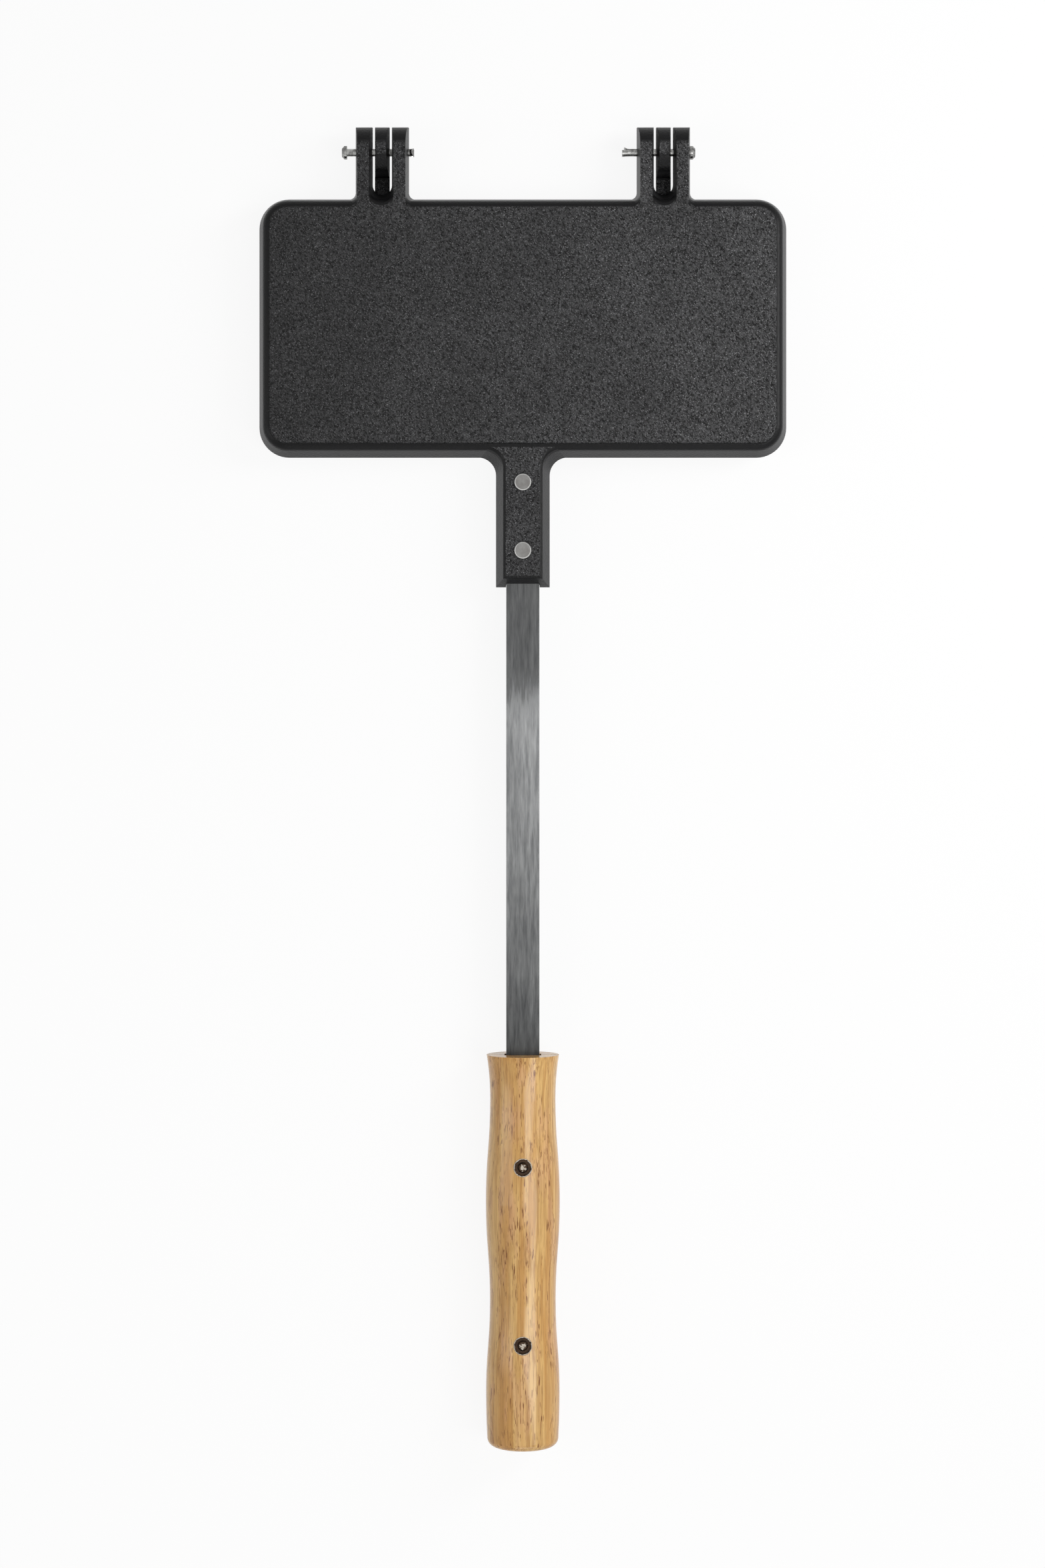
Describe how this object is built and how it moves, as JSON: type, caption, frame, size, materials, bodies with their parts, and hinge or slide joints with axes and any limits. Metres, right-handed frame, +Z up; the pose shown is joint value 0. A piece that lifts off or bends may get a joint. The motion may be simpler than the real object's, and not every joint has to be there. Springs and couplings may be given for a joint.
{
  "type": "campfire toasting iron",
  "caption": "Hinged cast-iron toasting iron for a campfire: plates with square pockets that close on a sandwich, on long flat steel arms with a split wooden grip.",
  "frame": {"origin": "centre of the bounding box in X and Y, at its lowest level, the underside of the grip", "axes": "+Z up through the closed halves, +Y along the arms from the grip to the hinge, +X across the plates to the right"},
  "size_m": [0.255, 0.6374, 0.0358],
  "materials": {
    "casting": "seasoned, sand-cast texture",
    "bar_steel": "mill finish, lengthwise grain",
    "rivet_steel": "bright, lightly worn",
    "washer_steel": "darkened, bright rim",
    "grip_wood": "clear gloss lacquer on open-pored hardwood"
  },
  "bodies": {
    "lower_half": {"lower_plate": "casting", "lower_bar": "bar_steel", "lower_grip": "grip_wood", "lower_tang_rivet_1": "rivet_steel", "lower_tang_rivet_2": "rivet_steel", "lower_grip_rivet_1": "rivet_steel", "lower_grip_rivet_2": "rivet_steel", "lower_grip_washer_1": "washer_steel", "lower_grip_washer_2": "washer_steel"},
    "upper_half": {"upper_plate": "casting", "upper_bar": "bar_steel", "upper_grip": "grip_wood", "upper_tang_rivet_1": "rivet_steel", "upper_tang_rivet_2": "rivet_steel", "upper_grip_rivet_1": "rivet_steel", "upper_grip_rivet_2": "rivet_steel", "upper_grip_washer_1": "washer_steel", "upper_grip_washer_2": "washer_steel"},
    "hinge_pin_left": {"hinge_pin_left": "rivet_steel"},
    "hinge_pin_right": {"hinge_pin_right": "rivet_steel"}
  },
  "joints": [
    {"name": "plate_hinge", "type": "hinge", "parent": "lower_half", "child": "upper_half", "pos_m": [0, 0.30665, 0.0179], "axis": [-1, 0, 0], "range_deg": [0, 180]},
    {"name": "left_pin_slide", "type": "slide", "parent": "upper_half", "child": "hinge_pin_left", "axis": [-1, 0, 0], "range_m": [-0.0041, 0]},
    {"name": "right_pin_slide", "type": "slide", "parent": "upper_half", "child": "hinge_pin_right", "axis": [1, 0, 0], "range_m": [0, 0.0033]}
  ]
}
